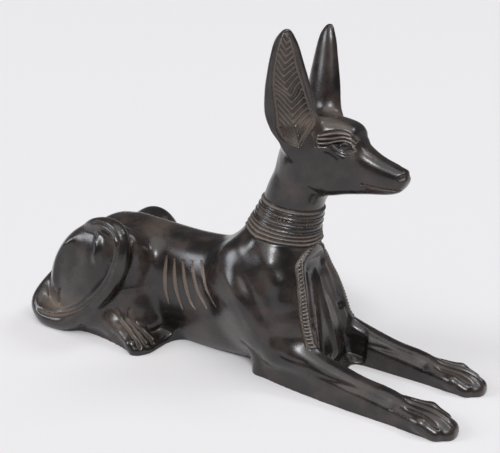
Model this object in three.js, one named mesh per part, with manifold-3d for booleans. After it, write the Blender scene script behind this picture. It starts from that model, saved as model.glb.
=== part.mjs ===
// Reclining jackal statuette, cast in one piece from stone-filled resin.
// Millimetres. +X runs from the tail to the paws, +Y to the jackal's left, +Z up, and it rests on z = 0.
// The body is one smooth field made of named masses: each mass gives the distance to its own surface,
// the masses are blended with rounded joins, and the field is then turned into one closed mesh.
import * as THREE from 'three';
import { MarchingCubes } from 'three/addons/objects/MarchingCubes.js';
import { SimplifyModifier } from 'three/addons/modifiers/SimplifyModifier.js';
import { mergeVertices } from 'three/addons/utils/BufferGeometryUtils.js';
import Module from 'manifold-3d';

// ---- driving dimensions ----
const BACK_HEIGHT = 68; // top of the back between shoulders and haunches
const TRUNK_AXIS = 30; // height of the widest line of the trunk
const TRUNK_REAR = -118;
const TRUNK_FRONT = 56;

const LEG_SPACING = 25.7; // middle of the body to the middle of a foreleg
const LEG_HALF = 10; // half the width of a foreleg on the ground
const LEG_OUTSIDE = LEG_SPACING + LEG_HALF;
const PAW_FRONT = 138; // centre of the round end of a foreleg

const HEAD_REAR = 28;
const NOSE_TIP = 101.5;
const EAR_FOOT = new THREE.Vector3(40.5, -20.5, 139);
const EAR_TIP = new THREE.Vector3(38.2, -24.2, 198);
const EAR_FACING = THREE.MathUtils.degToRad(-57); // direction the right ear opens to
const EAR_LIP = 2; // how far the ear's opening stands in front of its axis
const EAR_BACK = 3.6; // thickness of the ear behind its hollow

const TAIL_RADIUS = 6.4;
const CELLS = 132; // grid cells along each side of the block that holds the field
const BLOCK_MIN = new THREE.Vector3(-146, -64, -8);
const BLOCK_MAX = new THREE.Vector3(156, 64, 206);
const ROOT = -4; // the field is closed off here, under the ground, before the flat cut
const TRIANGLES = 8600; // after thinning

// ---- field tools ----
function smoothMin(a, b, width) {
  const h = Math.max(width - Math.abs(a - b), 0) / width;
  return Math.min(a, b) - h * h * width * 0.25;
}

function smoothMax(a, b, width) {
  return -smoothMin(-a, -b, width);
}

// A smooth curve through [station, value] pairs that never overshoots between them.
function curve(...stations) {
  const last = stations.length - 1;
  const at = stations.map(([s]) => s);
  const value = stations.map(([, v]) => v);
  const rise = at.slice(1).map((s, i) => (value[i + 1] - value[i]) / (s - at[i]));
  const slope = at.map((s, i) => {
    if (i === 0) return rise[0];
    if (i === last) return rise[last - 1];
    if (rise[i - 1] * rise[i] <= 0) return 0;
    const before = at[i] - at[i - 1];
    const after = at[i + 1] - at[i];
    const w1 = 2 * after + before;
    const w2 = after + 2 * before;
    return (w1 + w2) / (w1 / rise[i - 1] + w2 / rise[i]);
  });
  return (position) => {
    const s = THREE.MathUtils.clamp(position, at[0], at[last]);
    let i = 0;
    while (i < last - 1 && s > at[i + 1]) i += 1;
    const length = at[i + 1] - at[i];
    const t = (s - at[i]) / length;
    const u = 1 - t;
    return (1 + 2 * t) * u * u * value[i] + t * u * u * length * slope[i]
      + t * t * (3 - 2 * t) * value[i + 1] - t * t * u * length * slope[i + 1];
  };
}

// Distance to an oval body whose long axis may lean in the x-z plane by `lean` degrees.
function oval([cx, cy, cz], [rx, ry, rz], lean = 0) {
  const cos = Math.cos(THREE.MathUtils.degToRad(lean));
  const sin = Math.sin(THREE.MathUtils.degToRad(lean));
  return (x, y, z) => {
    const dx = x - cx;
    const dz = z - cz;
    const a = (cos * dx + sin * dz) / rx;
    const b = (y - cy) / ry;
    const c = (cos * dz - sin * dx) / rz;
    const reach = Math.sqrt(a * a + b * b + c * c) + 1e-6;
    const steepness = Math.sqrt((a / rx) ** 2 + (b / ry) ** 2 + (c / rz) ** 2) + 1e-6;
    return reach * (reach - 1) / steepness;
  };
}

// Distance to a row of round links; each point is [x, y, z, radius] and `join` rounds the joints.
function links(points, join = 0) {
  const spans = points.slice(1).map((b, i) => {
    const a = points[i];
    const axis = [b[0] - a[0], b[1] - a[1], b[2] - a[2]];
    return { a, axis, grow: b[3] - a[3], length2: axis[0] ** 2 + axis[1] ** 2 + axis[2] ** 2 };
  });
  return (x, y, z) => {
    let nearest = Infinity;
    for (const { a, axis, grow, length2 } of spans) {
      const dx = x - a[0];
      const dy = y - a[1];
      const dz = z - a[2];
      const along = (dx * axis[0] + dy * axis[1] + dz * axis[2]) / length2;
      const t = Math.min(Math.max(along, 0), 1);
      const away = (dx - axis[0] * t) ** 2 + (dy - axis[1] * t) ** 2 + (dz - axis[2] * t) ** 2;
      const gap = Math.sqrt(away) - a[3] - grow * t;
      nearest = join > 0 && nearest < Infinity ? smoothMin(nearest, gap, join) : Math.min(nearest, gap);
    }
    return nearest;
  };
}

// How far out a point is on a rounded-square section: 1 on the outline.
function section(across, up, squareness) {
  return (Math.abs(across) ** squareness + Math.abs(up) ** squareness) ** (1 / squareness);
}

// ---- trunk, neck and chest ----
const trunkTop = curve(
  [-122, 36], [-116, 50], [-108, 61], [-98, 66.5], [-85, BACK_HEIGHT + 1.5], [-60, BACK_HEIGHT],
  [-35, BACK_HEIGHT - 1], [-15, BACK_HEIGHT], [0, 72], [12, 76], [30, 72], [45, 60], [58, 46],
);
const trunkDepth = curve([-118, 46], [-70, 44], [-40, 39], [-20, 37.5], [0, 35.5], [15, 34], [58, 34]);
const trunkHalf = curve([-122, 8], [-116, 16], [-108, 22], [-98, 25], [-35, 25], [0, 27], [45, 26], [58, 18]);

function trunk(x, y, z) {
  const half = trunkHalf(x);
  const reach = z > TRUNK_AXIS ? trunkTop(x) - TRUNK_AXIS : trunkDepth(x);
  const out = section(y / half, (z - TRUNK_AXIS) / reach, 2.3);
  const side = (out - 1) * Math.min(half, reach) * 0.9;
  return smoothMax(side, Math.max(TRUNK_REAR - x, x - TRUNK_FRONT), 10);
}

const rump = oval([-100, 0, 34], [18, 28, 29]);

const neckAxis = curve([50, 14], [62, 21], [78, 27], [100, 33], [110, 35.5], [120, 39], [132, 43]);
const neckRadius = curve([50, 29], [62, 25.5], [78, 21.2], [90, 19.2], [100, 18], [120, 16.2], [132, 15]);

function neck(x, y, z) {
  const side = (Math.hypot(x - neckAxis(z), y) - neckRadius(z)) * 0.93;
  return smoothMax(side, Math.max(z - 134, 50 - z), 6);
}

// The chest is boxed: a front face between two corners that the scarf's edges follow down.
const CHEST_AXIS = 18;
const CHEST_REAR = 24;
const chestFront = curve([15, 71], [27.5, 67], [42.6, 61], [53, 55.3], [62.6, 50.5], [69.5, 48.5], [76, 47]);
const chestHalf = curve([15, 31], [27.5, 30.4], [42.6, 28.2], [53, 25.2], [62.6, 21], [69.5, 17], [76, 14]);

function chest(x, y, z) {
  const half = chestHalf(z);
  const depth = chestFront(z) - CHEST_AXIS;
  const out = section(y / half, (x - CHEST_AXIS) / depth, 4.6);
  return smoothMax((out - 1) * Math.min(half, depth) * 0.9, Math.max(z - 80, CHEST_REAR - x), 8);
}

// ---- limbs, mirrored left and right: `side` is the distance from the middle plane ----
const shoulderBlade = oval([18, 20, 44], [21, 14.5, 32], 26);
const upperArm = links([[24, 24, 46, 10.5], [42, 26, 20, 9]]);
const shoulderRidge = links([
  [22, 19, 73, 6], [31, 21.5, 65, 7.2], [38, 21.8, 57.6, 7.6], [42.6, 22.8, 48.5, 7.4], [45, 24.5, 37, 7],
  [47, 26, 26, 7],
], 4);

function shoulder(x, side, z) {
  const blade = smoothMin(shoulderBlade(x, side, z), upperArm(x, side, z), 16);
  return smoothMin(blade, shoulderRidge(x, side, z), 4);
}

const forearm = links([
  [44, 27, 20, 9.5], [68, LEG_SPACING, 14.5, 8.4], [92, LEG_SPACING, 9.2, 7.6],
  [108, LEG_SPACING, 7.4, 7.5], [121, LEG_SPACING, 4, 7.2],
], 6);
const legTop = curve([30, 25], [45, 25], [60, 20], [84, 14], [99, 11.4], [112, 9.6], [130, 7], [149, 3]);
const legTaper = curve([0, LEG_HALF], [8, LEG_HALF - 0.8], [26, LEG_HALF - 1.8]);
const legOutline = curve([28, 20], [31, 23], [41, 30], [51, 32.6], [65, 34.4], [90, LEG_OUTSIDE]);

// The wall of resin that fills the space between a forearm and the ground.
function legWall(x, side, z) {
  const reach = Math.hypot(Math.max(x - PAW_FRONT, 0), side - LEG_SPACING);
  const taper = legTaper(z);
  const half = side > LEG_SPACING ? legOutline(x) - LEG_OUTSIDE + taper : taper;
  return smoothMax(smoothMax(reach - half, 30 - x, 8), z - legTop(x), 3);
}

const pawPad = oval([130, LEG_SPACING, 2], [18, 10.3, 9.5]);
const TOE_SPREAD = 5.5;
const foreToes = [-1.5, -0.5, 0.5, 1.5].map((step) => {
  const side = LEG_SPACING + step * TOE_SPREAD;
  const outer = Math.abs(step) > 1;
  return links([
    [118, LEG_SPACING + step * TOE_SPREAD * 0.6, 6, 4.2],
    [131, side, 5.6, 4],
    [outer ? 138.8 : 143.8, side, 2.6, outer ? 3.7 : 4.1],
  ], 2);
});

function foreleg(x, side, z) {
  const leg = smoothMin(forearm(x, side, z), legWall(x, side, z), 2);
  const paw = foreToes.reduce((shape, toe) => smoothMin(shape, toe(x, side, z), 1.2), pawPad(x, side, z));
  return smoothMin(leg, paw, 3);
}

const haunch = oval([-95, 30, 29.5], [24.5, 17.5, 36], -7);
const hindShank = links([[-84, 36, 12, 11], [-70, 38, 9.5, 9], [-60, 38.5, 6.5, 7.5]], 5);
const hock = links([[-74, 30, 30, 9], [-64, 29, 20, 8], [-55, 28, 9, 7]], 6);
const hindToes = [
  links([[-68, 44, 11.5, 4.2], [-56, 46, 7.4, 3.7], [-48.5, 49.6, 4.8, 3.6], [-45.8, 50.4, 2.4, 3.4]], 2),
  links([[-62, 42.6, 11, 4], [-55.8, 42, 8.6, 3.6], [-48.4, 45, 5.4, 3.6], [-43.4, 47, 2.8, 3.4]], 2),
  links([[-60, 39.5, 11, 4], [-50, 41, 6.4, 3.6], [-43.8, 42.2, 3.4, 3.5]], 2),
  links([[-60, 36, 10.6, 4], [-51, 36.6, 7, 3.6], [-43.2, 37, 3.6, 3.5]], 2),
];
const slabEdge = curve(
  [-100, 42], [-83, 45], [-73, 46.3], [-64, 47.6], [-53.6, 50], [-46, 53], [-43, 52.4], [-40, 49.4],
  [-37, 44],
);
const slabTop = curve([-100, 11], [-80, 11], [-65, 9.4], [-54, 7], [-47, 4.6], [-37, 3]);

// A foot whose toes lie on a thin slab that joins the belly.
function hindFoot(x, side, z) {
  const leg = smoothMin(hindShank(x, side, z), hock(x, side, z), 5);
  const foot = hindToes.reduce((shape, toe) => smoothMin(shape, toe(x, side, z), 1.2), leg);
  const edge = smoothMax(side - slabEdge(x), x + 37.5, 3) + z * 0.25;
  const slab = smoothMax(smoothMax(edge, z - slabTop(x), 1.5), -92 - x, 4);
  return smoothMin(foot, slab, 1.5);
}

// ---- right thigh and the tail that is wrapped round it ----
const thigh = oval([-91, -32.5, 37.3], [44.5, 16, 27], 42);
const tailRoute = new THREE.CatmullRomCurve3([
  [-108, -2, 38], [-121, -12, 33], [-130, -27, 22], [-132.5, -42, 11], [-122, -49, 5.4],
  [-108, -50, 4.8], [-99.5, -49.8, 8], [-88, -49, 17.4], [-76.6, -48, 28], [-67.1, -47, 38.5],
  [-61.5, -46, 48.4], [-58.5, -45, 57.2], [-59, -43.5, 64.7], [-61, -42.3, 70.1], [-65.6, -40.7, 73.6],
  [-74.2, -39, 74.5], [-84, -37.5, 72.7], [-91, -35.5, 69.8], [-96.8, -33.5, 65.3],
].map((point) => new THREE.Vector3(...point)));
const tailThickness = curve(
  [0, 9], [0.2, 7.4], [0.28, TAIL_RADIUS], [0.36, 6], [0.46, 5.4], [0.55, 5], [0.86, 4.8], [0.95, 4], [1, 2],
);
const TAIL_STEPS = 54;
const tail = links(Array.from({ length: TAIL_STEPS + 1 }, (_, i) => {
  const { x, y, z } = tailRoute.getPointAt(i / TAIL_STEPS);
  return [x, y, z, tailThickness(i / TAIL_STEPS)];
}));

// The sloping floor between the thigh and the tail behind it.
function tailWeb(x, y, z) {
  const slope = (z - 11 - 0.8 * (y + 47)) * 0.78;
  const outline = (Math.hypot((x + 108) / 25, (y + 26) / 24) - 1) * 24;
  return smoothMax(slope, outline, 4);
}

// ---- head ----
const headTop = curve(
  [28, 134], [32, 142], [38, 148], [46, 151], [57, 151.6], [65, 150.5], [69.5, 149], [72, 146.6],
  [73.6, 142.4], [75.2, 139.2], [79, 136.3], [86, 132.7], [94, 130], [99, 128.4], [NOSE_TIP, 124],
);
const headUnder = curve(
  [28, 124], [34, 117], [40, 112], [46, 108.5], [56, 108.5], [68, 111], [80, 112.8], [90, 114.2],
  [96, 116], [99.5, 119.5], [NOSE_TIP, 123],
);
const headHalf = curve(
  [28, 8], [32, 13], [38, 16], [46, 17], [57, 15.6], [64, 13.2], [70, 11.4], [76, 10], [84, 8.7],
  [92, 7.6], [98, 6.4], [100.5, 4.8], [NOSE_TIP, 2],
);

const headBoxiness = curve([28, 2.4], [52, 2.7], [66, 3.4], [73, 3.2], [80, 2.7], [92, 2.6], [100, 2.3]);

function head(x, y, z) {
  const half = headHalf(x);
  const middle = (headTop(x) + headUnder(x)) / 2;
  const reach = (headTop(x) - headUnder(x)) / 2;
  const out = section(y / half, (z - middle) / reach, headBoxiness(x));
  return smoothMax((out - 1) * Math.min(half, reach) * 0.85, Math.max(HEAD_REAR - x, x - NOSE_TIP), 3);
}

// ---- ears: tall leaves, round behind and hollow in front ----
const EAR_HEIGHT = EAR_TIP.z - EAR_FOOT.z;
const earBow = curve([0, 2.5], [0.25, 0.1], [0.45, -0.4], [0.6, -0.8], [0.75, -1.1], [0.9, -1.1], [1, -0.3]);
const earHalf = curve(
  [-0.12, 5], [0, 8.6], [0.12, 11.8], [0.29, 13.3], [0.45, 12.5], [0.6, 10.7], [0.75, 8.5], [0.88, 6.2],
  [0.956, 3.7], [1, 1.4],
);
const earDepth = curve(
  [-0.12, 6.5], [0, 9.6], [0.12, 10.8], [0.27, 10.9], [0.45, 9.7], [0.7, 7], [0.88, 4.8], [0.956, 3],
  [1, 1.2],
);
const hollowMiddle = curve(
  [-0.03, 4.2], [0, 2.6], [0.056, 1.3], [0.136, 1.8], [0.203, 2.8], [0.36, 1.1], [0.49, -0.3], [0.7, -1.5],
  [0.93, -1.2],
);
const hollowHalf = curve(
  [-0.03, 0.6], [0, 3.2], [0.056, 6.3], [0.136, 9], [0.203, 10.2], [0.36, 9.4], [0.49, 8.6], [0.7, 6.3],
  [0.86, 4.2], [0.95, 2.4], [1, 0.6],
);

// A point in the right ear's own directions: how far up it, across its opening, and out of it.
function earPlace(x, side, z) {
  const rise = (z - EAR_FOOT.z) / EAR_HEIGHT;
  const dx = x - THREE.MathUtils.lerp(EAR_FOOT.x, EAR_TIP.x, rise);
  const dy = -side - THREE.MathUtils.lerp(EAR_FOOT.y, EAR_TIP.y, rise);
  const across = dy * Math.cos(EAR_FACING) - dx * Math.sin(EAR_FACING);
  const out = dx * Math.cos(EAR_FACING) + dy * Math.sin(EAR_FACING);
  return [rise, across, out];
}

function ear(x, side, z) {
  const [rise, across, out] = earPlace(x, side, z);
  const half = earHalf(rise);
  const depth = earDepth(rise);
  const leaf = (Math.hypot((across - earBow(rise)) / half, out / depth) - 1) * Math.min(half, depth) * 0.8;
  const front = smoothMax(smoothMax(leaf, out - EAR_LIP, 1.2), z - EAR_TIP.z, 1);
  return smoothMax(front, EAR_FOOT.z - 8 - z, 6);
}

function earHollow(x, side, z) {
  if (z < EAR_FOOT.z - 10 || side < 4 || side > 45) return 60;
  const [rise, across, out] = earPlace(x, side, z);
  const half = hollowHalf(rise);
  const deepening = 0.35 + 0.65 * THREE.MathUtils.smoothstep(rise, -0.05, 0.28);
  const depth = Math.max(earDepth(rise) - EAR_BACK, 0.5) * deepening;
  const reach = Math.hypot((across - hollowMiddle(rise)) / half, (out - EAR_LIP) / depth) - 1;
  return smoothMax(reach * Math.min(half, depth) * 0.8, EAR_FOOT.z - 2 - z, 2);
}

// ---- the whole jackal ----
function jackalField(x, y, z) {
  const side = Math.sqrt(y * y + 0.04);
  let shape = trunk(x, y, z);
  shape = smoothMin(shape, neck(x, y, z), 16);
  shape = smoothMin(shape, shoulder(x, side, z), 10);
  shape = smoothMin(shape, chest(x, y, z), 5);
  shape = smoothMin(shape, rump(x, y, z), 10);
  shape = smoothMin(shape, haunch(x, side, z), 10);
  shape = smoothMin(shape, thigh(x, y, z), 14);
  shape = smoothMin(shape, foreleg(x, side, z), 5);
  shape = smoothMin(shape, hindFoot(x, side, z), 10);
  shape = smoothMin(shape, tailWeb(x, y, z), 4);
  shape = smoothMin(shape, tail(x, y, z), 4.5);
  shape = smoothMin(shape, head(x, y, z), 7);
  shape = smoothMin(shape, ear(x, side, z), 8);
  shape = smoothMax(shape, -earHollow(x, side, z), 0.8);
  return Math.max(shape, ROOT - z);
}

// Moves each vertex of a geometry along the field's slope until it lies on the surface.
function settle(geometry, field) {
  const position = geometry.getAttribute('position');
  const step = 0.05;
  for (let i = 0; i < position.count; i += 1) {
    let x = position.getX(i);
    let y = position.getY(i);
    let z = position.getZ(i);
    for (let round = 0; round < 3; round += 1) {
      const value = field(x, y, z);
      const gx = (field(x + step, y, z) - field(x - step, y, z)) / (2 * step);
      const gy = (field(x, y + step, z) - field(x, y - step, z)) / (2 * step);
      const gz = (field(x, y, z + step) - field(x, y, z - step)) / (2 * step);
      const move = THREE.MathUtils.clamp(value / (gx * gx + gy * gy + gz * gz), -0.4, 0.4);
      x -= gx * move;
      y -= gy * move;
      z -= gz * move;
    }
    position.setXYZ(i, x, y, z);
  }
}

// Turns a field into one closed mesh inside the block.
function meshOfField(field) {
  const cubes = new MarchingCubes(CELLS, new THREE.MeshBasicMaterial(), false, false, 400000);
  const centre = BLOCK_MIN.clone().add(BLOCK_MAX).multiplyScalar(0.5);
  const reach = BLOCK_MAX.clone().sub(BLOCK_MIN).multiplyScalar(0.5);
  const place = (index, axis) => {
    return centre.getComponent(axis) + (2 * index / CELLS - 1) * reach.getComponent(axis);
  };
  const clearance = 0.03; // keeps the surface off the grid's corners
  cubes.isolation = 0;
  for (let k = 0; k < CELLS; k += 1) {
    for (let j = 0; j < CELLS; j += 1) {
      for (let i = 0; i < CELLS; i += 1) {
        const distance = field(place(i, 0), place(j, 1), place(k, 2));
        const kept = Math.abs(distance) < clearance ? clearance : distance;
        cubes.setCell(i, j, k, -kept);
      }
    }
  }
  cubes.update();
  const geometry = new THREE.BufferGeometry();
  const corners = cubes.positionArray.slice(0, cubes.count * 3);
  geometry.setAttribute('position', new THREE.BufferAttribute(corners, 3));
  // Neighbouring cells round a shared corner differently, so corners are merged on two offset grids.
  const tolerance = 1e-5;
  const once = mergeVertices(geometry, tolerance);
  once.translate(tolerance / 2, tolerance / 2, tolerance / 2);
  const merged = mergeVertices(once, tolerance);
  merged.scale(reach.x, reach.y, reach.z);
  merged.translate(centre.x, centre.y, centre.z);
  return merged;
}

const wasm = await Module();
wasm.setup();

function solidOf(geometry) {
  const plain = geometry.clone();
  plain.deleteAttribute('normal');
  plain.deleteAttribute('uv');
  const merged = mergeVertices(plain, 1e-4);
  return new wasm.Manifold(new wasm.Mesh({
    numProp: 3,
    vertProperties: new Float32Array(merged.getAttribute('position').array),
    triVerts: new Uint32Array(merged.getIndex().array),
  }));
}

function geometryOf(solid) {
  const { vertProperties, triVerts } = solid.getMesh();
  const geometry = new THREE.BufferGeometry();
  geometry.setAttribute('position', new THREE.BufferAttribute(vertProperties, 3));
  geometry.setIndex(new THREE.BufferAttribute(triVerts, 1));
  return geometry;
}

const fine = meshOfField(jackalField);
settle(fine, jackalField);
const fineTriangles = fine.getIndex().count / 3;
const surplus = Math.round(fine.getAttribute('position').count * (1 - TRIANGLES / fineTriangles));
const thinned = await new SimplifyModifier().modify(fine, surplus);

// Everything below the ground plane is cut away, so the underside is flat.
const ground = new THREE.BoxGeometry(400, 200, 40);
ground.translate(0, 0, -20);
const jackalGeometry = geometryOf(solidOf(thinned).subtract(solidOf(ground)));

// The part's origin is the middle of its footprint.
jackalGeometry.computeBoundingBox();
const middle = jackalGeometry.boundingBox.getCenter(new THREE.Vector3());
jackalGeometry.translate(-middle.x, -middle.y, 0);
jackalGeometry.computeVertexNormals();

const castResin = new THREE.MeshStandardMaterial({ color: 0x2b2725, roughness: 0.34, metalness: 0 });
const jackal = new THREE.Mesh(jackalGeometry, castResin);
jackal.name = 'jackal';

const statuette = new THREE.Group();
statuette.add(jackal);

export default statuette;
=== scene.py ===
"""A reclining jackal statuette in cast resin: its fine surface, its finish and a plain studio round it.

The casting is sculpted as one field. Each mass of the body gives the distance to its own surface, the
masses are blended with rounded joins, and the carving is raised or sunk on top of that. The field is
then turned into one mesh. In the sculpture lengths are millimetres: x runs from tail to paws, y to the
jackal's left, z up from the ground. The finished mesh is moved onto the frame's casting, in metres.
"""

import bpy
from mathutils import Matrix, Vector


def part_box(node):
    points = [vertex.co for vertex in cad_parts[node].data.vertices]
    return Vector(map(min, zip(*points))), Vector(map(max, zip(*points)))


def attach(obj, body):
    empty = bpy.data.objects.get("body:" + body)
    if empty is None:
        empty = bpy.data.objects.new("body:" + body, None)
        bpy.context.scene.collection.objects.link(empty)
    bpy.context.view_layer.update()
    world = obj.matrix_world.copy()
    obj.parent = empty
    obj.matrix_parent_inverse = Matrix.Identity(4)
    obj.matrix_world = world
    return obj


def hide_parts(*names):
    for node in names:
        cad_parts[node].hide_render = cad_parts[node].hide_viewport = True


bl_info = {
    "name": "Reclining jackal statuette",
    "version": (1, 0, 0),
    "blender": (4, 5, 0),
    "location": "3D View > Sidebar > Jackal",
    "description": "Sculpts and finishes a cast resin jackal, and sets a plain studio round it",
    "category": "Add Mesh",
}

import math
from concurrent.futures import ThreadPoolExecutor

import bpy
import numpy as np
from bpy.props import FloatProperty, FloatVectorProperty, IntProperty, PointerProperty
from mathutils import Matrix, Vector

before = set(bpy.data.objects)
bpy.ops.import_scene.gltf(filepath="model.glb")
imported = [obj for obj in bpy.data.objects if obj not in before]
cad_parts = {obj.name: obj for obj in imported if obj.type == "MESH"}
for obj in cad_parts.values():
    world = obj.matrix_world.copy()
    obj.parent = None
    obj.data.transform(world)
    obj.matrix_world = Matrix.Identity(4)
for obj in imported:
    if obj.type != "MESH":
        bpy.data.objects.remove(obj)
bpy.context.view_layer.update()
CASTING = "jackal"
MM = 0.001


# ---------------------------------------------------------------- field tools
def smooth_min(a, b, width):
    """Joins two masses with a fillet about as wide as `width`."""
    near = np.maximum(width - np.abs(a - b), 0) / width
    return np.minimum(a, b) - near * near * (width * 0.25)


def smooth_max(a, b, width):
    return -smooth_min(-a, -b, width)


def curve(*stations):
    """A smooth curve through (station, value) pairs that never overshoots between them."""
    at = np.array([s for s, _ in stations], np.float32)
    value = np.array([v for _, v in stations], np.float32)
    length = np.diff(at)
    rise = np.diff(value) / length
    slope = np.zeros(len(at), np.float32)
    slope[0] = rise[0]
    slope[-1] = rise[-1]
    for i in range(1, len(at) - 1):
        if rise[i - 1] * rise[i] > 0:
            before = 2 * length[i] + length[i - 1]
            after = length[i] + 2 * length[i - 1]
            slope[i] = (before + after) / (before / rise[i - 1] + after / rise[i])

    def value_at(position):
        s = np.clip(position, at[0], at[-1])
        i = np.clip(np.searchsorted(at, s, side="right") - 1, 0, len(at) - 2)
        span = length[i]
        t = (s - at[i]) / span
        u = 1 - t
        start = (1 + 2 * t) * u * u * value[i] + t * u * u * span * slope[i]
        return start + t * t * (3 - 2 * t) * value[i + 1] - t * t * u * span * slope[i + 1]

    return value_at


def ramp(low, high, value):
    """0 below `low`, 1 above `high`, and smooth between them."""
    t = np.clip((value - low) / (high - low), 0, 1)
    return t * t * (3 - 2 * t)


def bell(distance, width):
    """1 on a line, falling smoothly to nothing about two widths away."""
    return np.exp(-(distance / width) ** 2)


def oval(centre, radii, lean=0.0):
    """Distance to an oval body whose long axis may lean in the x-z plane by `lean` degrees."""
    cos, sin = math.cos(math.radians(lean)), math.sin(math.radians(lean))
    (cx, cy, cz), (rx, ry, rz) = centre, radii

    def distance(x, y, z):
        dx = x - cx
        dz = z - cz
        a = (cos * dx + sin * dz) / rx
        b = (y - cy) / ry
        c = (cos * dz - sin * dx) / rz
        reach = np.sqrt(a * a + b * b + c * c) + 1e-6
        steepness = np.sqrt((a / rx) ** 2 + (b / ry) ** 2 + (c / rz) ** 2) + 1e-6
        return reach * (reach - 1) / steepness

    return distance


FAR = 60.0  # what a mass says where it's too far off to matter, in mm
REACH = 14.0  # a link further from a batch of points than this is passed over


def links(points, join=0.0):
    """Distance to a row of round links; each point is (x, y, z, radius) and `join` rounds the joints."""
    points = np.array(points, np.float32)

    def distance(x, y, z):
        nearest = np.full(x.shape, FAR, np.float32)
        low = np.array([x.min(), y.min(), z.min()]) - REACH
        high = np.array([x.max(), y.max(), z.max()]) + REACH
        for start, end in zip(points[:-1], points[1:]):
            grown = max(start[3], end[3])
            far_end = np.maximum(start, end)[:3] + grown
            near_end = np.minimum(start, end)[:3] - grown
            if (far_end < low).any() or (near_end > high).any():
                continue
            axis = end[:3] - start[:3]
            dx, dy, dz = x - start[0], y - start[1], z - start[2]
            t = np.clip((dx * axis[0] + dy * axis[1] + dz * axis[2]) / (axis @ axis), 0, 1)
            away = (dx - axis[0] * t) ** 2 + (dy - axis[1] * t) ** 2 + (dz - axis[2] * t) ** 2
            gap = np.sqrt(away) - start[3] - (end[3] - start[3]) * t
            nearest = smooth_min(nearest, gap, join) if join else np.minimum(nearest, gap)
        return nearest

    return distance


def through(points, steps):
    """Points along a smooth curve through `points`, evenly spaced, `steps` spans in all."""
    points = np.array(points, np.float64)
    padded = np.vstack([2 * points[0] - points[1], points, 2 * points[-1] - points[-2]])
    t = np.linspace(0, 1, 24, endpoint=False)[:, None]
    pieces = []
    for a, b, c, d in zip(padded[:-3], padded[1:-2], padded[2:-1], padded[3:]):
        pieces.append(
            0.5 * (2 * b + (c - a) * t + (2 * a - 5 * b + 4 * c - d) * t**2 + (3 * b - a - 3 * c + d) * t**3)
        )
    dense = np.vstack([*pieces, points[-1:]])
    travel = np.concatenate([[0], np.cumsum(np.linalg.norm(np.diff(dense, axis=0), axis=1))])
    even = np.linspace(0, travel[-1], steps + 1)
    return np.stack([np.interp(even, travel, dense[:, axis]) for axis in range(points.shape[1])], 1)


def section(across, up, squareness):
    """How far out a point is on a rounded-square section: 1 on the outline."""
    return (np.abs(across) ** squareness + np.abs(up) ** squareness) ** (1 / squareness)


# ---------------------------------------------------------------- trunk, neck and chest
BACK_HEIGHT = 68
TRUNK_AXIS = 30
TRUNK_REAR, TRUNK_FRONT = -118, 56
trunk_top = curve(
    (-122, 36), (-116, 50), (-108, 61), (-98, 66.5), (-85, BACK_HEIGHT + 1.5), (-60, BACK_HEIGHT),
    (-35, BACK_HEIGHT - 1), (-15, BACK_HEIGHT), (0, 72), (12, 76), (30, 72), (45, 60), (58, 46),
)
trunk_depth = curve((-118, 46), (-70, 44), (-40, 39), (-20, 37.5), (0, 35.5), (15, 34), (58, 34))
trunk_half = curve((-122, 8), (-116, 16), (-108, 22), (-98, 25), (-35, 25), (0, 27), (45, 26), (58, 18))


def trunk(x, y, z):
    half = trunk_half(x)
    reach = np.where(z > TRUNK_AXIS, trunk_top(x) - TRUNK_AXIS, trunk_depth(x))
    out = section(y / half, (z - TRUNK_AXIS) / reach, 2.3)
    side = (out - 1) * np.minimum(half, reach) * 0.9
    return smooth_max(side, np.maximum(TRUNK_REAR - x, x - TRUNK_FRONT), 10)


rump = oval((-100, 0, 34), (18, 28, 29))

neck_axis = curve((50, 14), (62, 21), (78, 27), (100, 33), (110, 35.5), (120, 39), (132, 43))
neck_radius = curve((50, 29), (62, 25.5), (78, 21.2), (90, 19.2), (100, 18), (120, 16.2), (132, 15))


def neck(x, y, z):
    side = (np.hypot(x - neck_axis(z), y) - neck_radius(z)) * 0.93
    return smooth_max(side, np.maximum(z - 134, 50 - z), 6)


# The chest is boxed: a front face between two corners that the scarf's edges follow down.
CHEST_AXIS = 18
CHEST_REAR = 24
chest_front = curve((15, 71), (27.5, 67), (42.6, 61), (53, 55.3), (62.6, 50.5), (69.5, 48.5), (76, 47))
chest_half = curve((15, 31), (27.5, 30.4), (42.6, 28.2), (53, 25.2), (62.6, 21), (69.5, 17), (76, 14))


def chest(x, y, z):
    half = chest_half(z)
    depth = chest_front(z) - CHEST_AXIS
    out = section(y / half, (x - CHEST_AXIS) / depth, 4.6)
    return smooth_max((out - 1) * np.minimum(half, depth) * 0.9, np.maximum(z - 80, CHEST_REAR - x), 8)


# ---------------------------------------------------------------- limbs, mirrored left and right
# `side` is the distance from the middle plane.
LEG_SPACING = 25.7
LEG_HALF = 10
LEG_OUTSIDE = LEG_SPACING + LEG_HALF
PAW_FRONT = 138
STEPS_ACROSS_PAW = (-1.5, -0.5, 0.5, 1.5)

shoulder_blade = oval((18, 20, 44), (21, 14.5, 32), 26)
upper_arm = links([(24, 24, 46, 10.5), (42, 26, 20, 9)])
shoulder_ridge = links([
    (22, 19, 73, 6), (31, 21.5, 65, 7.2), (38, 21.8, 57.6, 7.6), (42.6, 22.8, 48.5, 7.4),
    (45, 24.5, 37, 7), (47, 26, 26, 7),
], 4)


def shoulder(x, side, z):
    blade = smooth_min(shoulder_blade(x, side, z), upper_arm(x, side, z), 16)
    return smooth_min(blade, shoulder_ridge(x, side, z), 4)


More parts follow.
